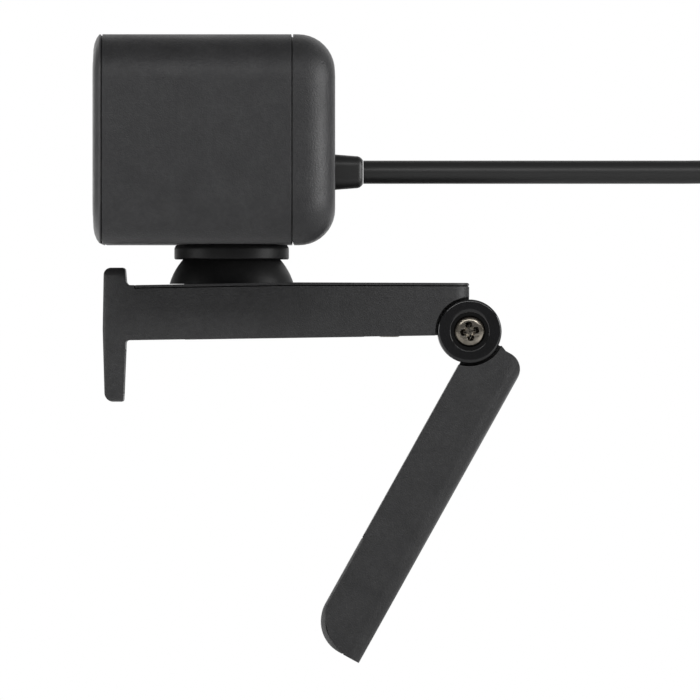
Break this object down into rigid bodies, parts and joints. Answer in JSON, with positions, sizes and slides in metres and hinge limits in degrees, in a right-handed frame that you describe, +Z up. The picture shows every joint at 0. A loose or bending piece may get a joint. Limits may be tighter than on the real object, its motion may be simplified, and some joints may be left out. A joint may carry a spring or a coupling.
{
  "type": "webcam with monitor clip",
  "caption": "Box-shaped USB webcam on a pan and tilt swivel, with a privacy shutter and a folding monitor clip that has a tripod socket in its leg.",
  "frame": {"origin": "middle of the rest pad's lower face, straight under the swivel's upright axis", "axes": "+X across the clip, +Y from the lens side to the cord side, +Z up"},
  "size_m": [0.094, 0.1516, 0.1316],
  "materials": {
    "grained_plastic": "fine spark-eroded grain",
    "satin_plastic": "satin",
    "gloss_black": "polished",
    "pad_rubber": "matte",
    "steel": "nickel plated",
    "bearing_plastic": "as moulded",
    "brass": "turned",
    "anodised_ring": "black anodised",
    "lens_glass": "coated",
    "chip_black": "moulded",
    "circuit_board": "solder mask",
    "cord_jacket": "satin",
    "tie_fabric": "hook and loop"
  },
  "bodies": {
    "clip": {"clip_arm": "grained_plastic", "arm_top_cover": "grained_plastic", "rest_pad": "pad_rubber", "lip_pad": "pad_rubber", "cover_screw_1": "steel", "cover_screw_2": "steel", "hinge_cap_right": "gloss_black", "hinge_cap_left": "gloss_black", "hinge_screw": "steel", "hinge_nut": "steel", "hinge_washer_right": "bearing_plastic", "hinge_washer_left": "bearing_plastic", "pan_friction_washer": "bearing_plastic"},
    "leg": {"leg_shell": "grained_plastic", "leg_inner_plate": "satin_plastic", "leg_pad": "pad_rubber", "tripod_insert": "brass", "hinge_bushing": "steel"},
    "swivel": {"swivel_dome": "satin_plastic", "pan_retainer": "steel", "pan_screw_1": "steel", "pan_screw_2": "steel", "pan_screw_3": "steel"},
    "head": {"swivel_collar": "satin_plastic", "collar_ring_nut": "satin_plastic", "tilt_bolt": "steel", "pressure_washer": "bearing_plastic", "disc_spring_1": "steel", "disc_spring_2": "steel", "tilt_nut": "steel", "housing_sleeve": "grained_plastic", "rear_cover": "grained_plastic", "front_bezel": "satin_plastic", "front_window": "gloss_black", "lens_ring": "anodised_ring", "carrier_plate": "satin_plastic", "lens_barrel": "satin_plastic", "lens_glass": "lens_glass", "lens_holder": "satin_plastic", "image_sensor": "chip_black", "main_board": "circuit_board", "processor": "chip_black", "board_connector": "bearing_plastic", "board_screw_1": "steel", "board_screw_2": "steel", "microphone_1": "steel", "microphone_2": "steel", "status_light": "bearing_plastic", "strain_relief": "cord_jacket", "usb_cord": "cord_jacket", "usb_cord_coil": "cord_jacket", "cord_tie": "tie_fabric", "usb_plug_body": "cord_jacket", "usb_plug_shell": "steel", "usb_plug_tongue": "bearing_plastic"},
    "shutter": {"privacy_shutter": "gloss_black"}
  },
  "joints": [
    {"name": "pan", "type": "hinge", "parent": "clip", "child": "swivel", "pos_m": [0, 0, 0.00667], "axis": [0, 0, 1], "continuous": true},
    {"name": "tilt", "type": "hinge", "parent": "swivel", "child": "head", "pos_m": [0, 0, 0.00667], "axis": [1, 0, 0], "range_deg": [-16, 10]},
    {"name": "leg_fold", "type": "hinge", "parent": "clip", "child": "leg", "pos_m": [0, 0.04298, 0.00136], "axis": [1, 0, 0], "range_deg": [-60, 113]},
    {"name": "shutter_slide", "type": "slide", "parent": "head", "child": "shutter", "axis": [1, 0, 0], "range_m": [-0.0129, 0]}
  ]
}
